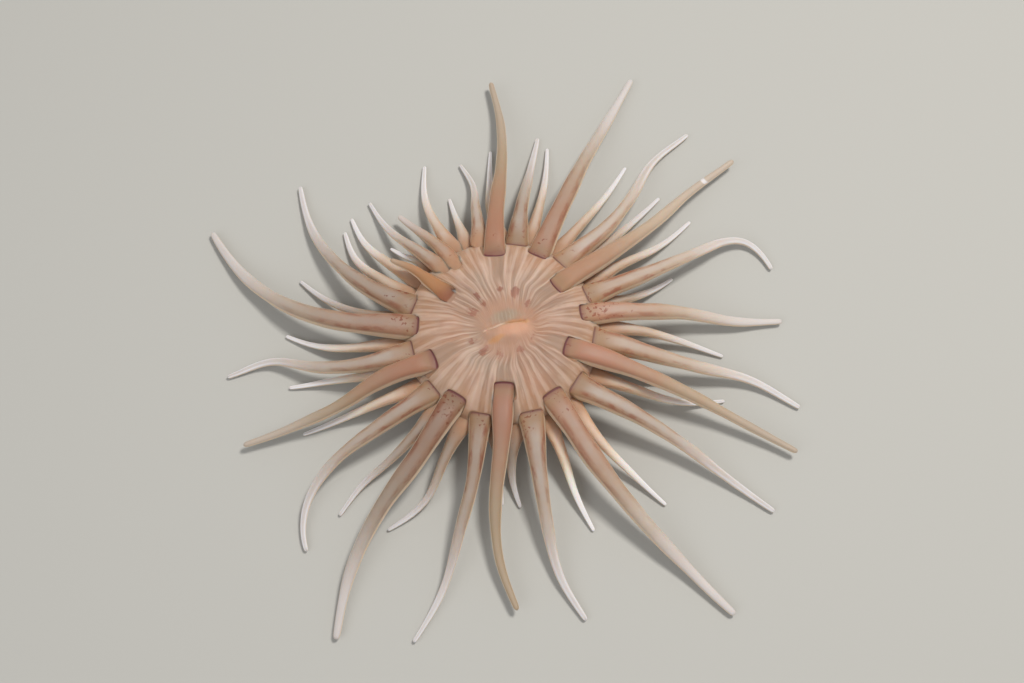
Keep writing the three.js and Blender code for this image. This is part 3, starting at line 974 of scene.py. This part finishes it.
def disc_marks(n, looks, place, lay):
    """Colour of the disc and column: pale ridges, whose crests are partly pale lines and partly
    painted highlight, warmer or greyer clouds between them, fine streaks along the folds and
    red-brown marks round the mouth."""
    x, y, z = n.millimetres(place)
    slots, height, _ = n.axes(lay)
    ridge, panel, mark = n.attributes("ridge", "panel", "blotch")
    radius = n.length(x - MOUTH_CENTRE[0], y - MOUTH_CENTRE[1])
    soft = n.noise(place, 170, 3)
    clouds = n.noise(place, 60, 3).ramp(0.35, 0.65)
    cool = n.noise(place, 85, 2, 0.5, 0.4).ramp(0.48, 0.68)
    outer = (radius + soft * 8).ramp(22, 30)
    paler = [n.length(x - px, y - py).ramp(14, 3) * 0.4 for px, py in PALER_PLACES]
    grain = n.noise(n.joined(slots * 3.2, height * 130), 1, 3, 0.55)
    fine = (1 - panel * 0.75) * radius.ramp(4, 11, 0.5, 1)
    # The pale colour on the ridges' crests is partly the disc's pale lines and partly a painted
    # highlight.
    crest = ridge.ramp(0.25, 0.95) * (soft.ramp(0.35, 0.65) * 0.5 + 0.5)
    slow = n.joined(slots * 0.8, height * 40)
    turns = slots * 1.1 + n.noise(slow, 1) * 1.1
    lines = (turns * (2 * pi)).cosine().ramp(-0.2, 0.9) * fine * radius.ramp(7, 12)
    lines = lines * n.noise(slow, 1.6, 1).ramp(0.3, 0.55, 0.15, 1)
    uneven = (n.noise(place, 700) + grain - 1) * 2.2
    spots = (mark + uneven).ramp(0.45, 1) * mark.ramp(0.02, 0.5)
    ribs = (slots * (2 * pi)).cosine().ramp(-0.6, 1)
    colour = n.layers(
        looks.disc,
        (clouds * 0.7, DISC_WARM),
        (cool * 0.6, DISC_COOL),
        (outer * 0.55, DISC_OUTER),
        *[(share, DISC_PALER) for share in paler],
        (panel * 0.75, DISC_BAND),
        (grain.ramp(0.48, 0.72) * fine * 0.4, looks.line),
        (grain.ramp(0.5, 0.28) * fine * 0.4, DARK_GRAIN),
        (crest * 0.7, looks.line),
        (lines * 0.5, looks.line),
        (spots * 0.62, looks.blotch),
        (z.ramp(13.5, 10), n.over(COLUMN_BUFF, ribs * 0.35, looks.pale)),
    )
    return {"Color": colour, "Relief": (grain + lines) * 1.4}


def tentacle_marks(n, looks, place):
    """Colour of a tentacle: a buff or mauve ground that pales to the tip, a pale streak on top,
    red-brown flanks and specks near the root, and the dark crease that fades outwards. A painted
    highlight runs along both sides, and the tone that scales it all is partly painted light."""
    along, share, aside, over = n.attributes("along", "share", "aside", "over")
    mauve, orange, pinch, girdle = n.attributes("mauve", "orange", "pinch", "girdle")
    rosiness, paleness, streakiness = n.attributes("rosy", "paling", "streak")
    redness, spottiness, tone = n.attributes("flank", "spots", "tone")
    across = abs(aside)
    soft = n.noise(place, 120, 3, 0.6)
    rosy = along.ramp(1.5, 5) * share.ramp(0.6, 0.25) * (soft * 0.8 + 0.2)
    reach = share + (soft - 0.5) * 0.2
    middle = across.ramp(0.75, 0.15) * over.ramp(0, 0.5) * along.ramp(1.5, 9, 0.3, 1)
    band = across.ramp(0.25, 0.6) * across.ramp(0.95, 0.75)
    stretch = along.ramp(1.5, 5) * share.ramp(0.7, 0.12)
    wrap = n.joined(aside * 3.5, over * 3.5, along * 0.4 + mauve * 600)
    patches = n.noise(wrap, 0.38, 3, 0.6).ramp(0.44, 0.62) * redness
    speck = n.noise(place, 1000, 0.8).ramp(0.57, 0.66) * over.ramp(0, 0.4)
    cluster = n.noise(place, 330) + spottiness * 0.36 - along.ramp(3, 18, 0, 0.4)
    ring = abs(along - girdle).ramp(1.1, 0.4) * girdle.ramp(20, 30)
    colour = n.layers(
        n.over(looks.buff, mauve, looks.mauve),
        (rosy * rosiness, ROSE),
        (along.ramp(6, 2) * 0.5, n.over(BUFF_ROOT, mauve, MAUVE_ROOT)),
        (reach.ramp(0.12, 0.62), n.over(PALE_BUFF, mauve, looks.tan)),
        (reach.ramp(0.4, 0.9) * paleness, looks.pale),
        (orange * share.ramp(1.3, 0.5), AMBER),
        (middle * streakiness * (soft * 0.8 + 0.35), GREY_STREAK),
        (band * stretch * patches * 0.72, RED_FLANK),
        (speck * cluster.ramp(0.6, 0.72) * 0.8, SPECK),
        (ring * 0.7, looks.pale),
    )
    # Painted light: the tone scales the whole colour, partly the tentacle's own tone and partly
    # lighter on the side of the key light and where the tentacle lies in shade.
    colour = n.scaled(colour, (tone - 1) * share.ramp(0.45, 0.9, 1, 0.25) + 1)
    # Painted highlight: a pale rim along both sides of the tentacle, for light through its thin
    # edges.
    edge = across.ramp(0.80, 0.94) * along.ramp(0.5, 2)
    bruise = orange * (along + soft * 5).ramp(9, 3)
    on_top = over.ramp(0.4, 0.72) * pinch
    line_end = pinch * 0.3 + 0.45
    colour = n.layers(
        colour,
        (edge * 0.8, PAINTED_RIM_HIGHLIGHT),
        (bruise * 0.75, BRUISE),
        (along.ramp(soft * 3 + mauve * 1.6, 0.3) * on_top * 0.6, BLUSH),
        (along.ramp(line_end, line_end * 0.55) * on_top * 0.9, looks.crease),
    )
    return {"Color": colour}


def flesh_material(looks):
    """Soft translucent flesh: disc, mouth and tentacle colours joined at the creases, light
    under the skin, a thin sheen and a fine bump."""
    material = bpy.data.materials.new("anemone_flesh")
    material.use_nodes = True
    tree = material.node_tree
    tree.nodes.clear()
    n = Nodes(tree)
    place = n.add("ShaderNodeTexCoord", None, "Object")
    lay = n.add("ShaderNodeUVMap", uv_map="lay")
    disc = new_group(disc_marks, looks, Place=VECTOR, Lay=VECTOR)
    mouth = new_group(mouth_marks, looks, Place=VECTOR, Color=COLOUR)
    arms = new_group(tentacle_marks, looks, Place=VECTOR)
    colour, relief = n.placed(disc, Place=place, Lay=lay)
    colour, = n.placed(mouth, Place=place, Color=colour)
    arm_colour, = n.placed(arms, Place=place)
    tentacle, along, share, pinch, orange = n.attributes(
        "tentacle", "along", "share", "pinch", "orange",
    )
    soft_root = pinch.ramp(0.4, 0.1) * along.ramp(9, 0) * orange.ramp(1, 0.5)
    colour = n.over(colour, tentacle.ramp(0.2, 0.8) * (1 - soft_root), arm_colour)
    swell = n.noise(place, 260)
    height = n.noise(place, 1400) * 0.2 + swell + relief * (1 - tentacle)
    shader = n.add("ShaderNodeBsdfPrincipled", {
        "Base Color": colour, "Roughness": swell.ramp(0.3, 0.7, 0.4, 0.52),
        "Normal": n.add("ShaderNodeBump", {
            "Height": height, "Strength": 0.3, "Distance": 0.25 * MM,
        }),
        "Subsurface Weight": share.ramp(0.55, 0.85, 0.75, 0.12),
        "Subsurface Radius": LIGHT_RADIUS, "Subsurface Scale": 3 * MM,
        "Specular IOR Level": 0.25, "IOR": 1.38,
        "Sheen Weight": 0.5, "Sheen Roughness": 0.3, "Sheen Tint": SHEEN,
    })
    n.put(tree.nodes.new("ShaderNodeOutputMaterial").inputs, {"Surface": shader})
    return material


def floor_material():
    """A plain pale floor."""
    material = bpy.data.materials.new("stage_floor")
    material.use_nodes = True
    shader = material.node_tree.nodes["Principled BSDF"]
    shader.inputs["Base Color"].default_value = FLOOR_GREY
    shader.inputs["Roughness"].default_value = 0.75
    return material


# ---- operators

def add_object(context, name, data):
    """Puts an object with its data into the scene."""
    thing = bpy.data.objects.new(name, data)
    context.scene.collection.objects.link(thing)
    return thing


class ANEMONE_OT_skin(bpy.types.Operator):
    """Builds the skin of the whole animal in place of its solids"""

    bl_idname = "anemone.skin"
    bl_label = "Skin"

    def execute(self, context):
        settings = context.scene.anemone_skin
        mesh = build_skin_mesh(settings)
        skin = add_object(context, "anemone_skin", mesh)
        mesh.materials.append(flesh_material(context.scene.anemone_looks))
        smooth = skin.modifiers.new("smooth", "SUBSURF")
        smooth.levels = settings.smoothing
        smooth.render_levels = settings.smoothing
        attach(skin, "root")
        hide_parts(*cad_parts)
        return {"FINISHED"}


# The lights as (name, place, size, power, tint), in metres and watts. They point at the origin.
LAMPS = (
    ("key", (0.32, 0.22, 0.95), 0.22, 7.2, (1.0, 0.97, 0.92)),
    ("fill", (-0.6, -0.5, 0.8), 0.9, 2.4, (0.95, 0.97, 1.0)),
)
ROOM_LIGHT = 0.42
# What the camera looks at, in millimetres.
TARGET = (3.0, -1.2, 8.0)


class ANEMONE_OT_stage(bpy.types.Operator):
    """Builds the floor, the soft lights and the camera"""

    bl_idname = "anemone.stage"
    bl_label = "Stage"

    def execute(self, context):
        stage = context.scene.anemone_stage
        self.add_floor(context, stage)
        self.add_lights(context)
        self.add_camera(context, stage)
        return {"FINISHED"}

    def add_floor(self, context, stage):
        half = stage.floor_size / 2
        mesh = bpy.data.meshes.new("stage_floor")
        corners = [(-half, -half, 0), (half, -half, 0), (half, half, 0), (-half, half, 0)]
        mesh.from_pydata(corners, [], [(0, 1, 2, 3)])
        mesh.materials.append(floor_material())
        floor = add_object(context, "stage_floor", mesh)

    def add_lights(self, context):
        world = bpy.data.worlds.new("soft_studio")
        world.use_nodes = True
        background = world.node_tree.nodes["Background"].inputs
        background["Color"].default_value = ROOM_WHITE
        background["Strength"].default_value = ROOM_LIGHT
        context.scene.world = world
        context.scene.view_settings.view_transform = "Standard"
        for name, place, size, power, tint in LAMPS:
            data = bpy.data.lights.new(name, "AREA")
            data.shape = "DISK"
            data.size = size
            data.energy = power
            data.color = tint
            self.aim(add_object(context, name, data), Vector(place), -Vector(place))

    def add_camera(self, context, stage):
        back = Vector((0, -cos(stage.elevation), sin(stage.elevation)))
        data = bpy.data.cameras.new("camera")
        data.lens = stage.focal_length
        data.sensor_width = 36
        data.clip_start = 0.01
        camera = add_object(context, "camera", data)
        self.aim(camera, Vector(TARGET) * MM + back * stage.distance, -back)
        context.scene.camera = camera

    def aim(self, thing, place, direction):
        """Puts a light or the camera in its place, looking in a direction."""
        thing.location = place
        thing.rotation_euler = direction.to_track_quat("-Z", "Y").to_euler()


class ANEMONE_PT_panel(bpy.types.Panel):
    """Lists the steps and sizes of the anemone"""

    bl_label = "Anemone"
    bl_idname = "ANEMONE_PT_panel"
    bl_space_type = "VIEW_3D"
    bl_region_type = "UI"
    bl_category = "Anemone"

    def draw(self, context):
        for name, cls in SETTINGS.items():
            for size in cls.__annotations__:
                self.layout.prop(getattr(context.scene, name), size)
        self.layout.operator(ANEMONE_OT_skin.bl_idname)
        self.layout.operator(ANEMONE_OT_stage.bl_idname)


SETTINGS = {
    "anemone_skin": ANEMONE_PG_skin,
    "anemone_looks": ANEMONE_PG_looks,
    "anemone_stage": ANEMONE_PG_stage,
}
CLASSES = (*SETTINGS.values(), ANEMONE_OT_skin, ANEMONE_OT_stage, ANEMONE_PT_panel)


def register():
    for cls in CLASSES:
        bpy.utils.register_class(cls)
    for name, cls in SETTINGS.items():
        setattr(bpy.types.Scene, name, PointerProperty(type=cls))


def unregister():
    for name in SETTINGS:
        delattr(bpy.types.Scene, name)
    for cls in reversed(CLASSES):
        bpy.utils.unregister_class(cls)


def main():
    register()
    bpy.ops.anemone.skin()
    bpy.ops.anemone.stage()


if __name__ == "__main__":
    main()
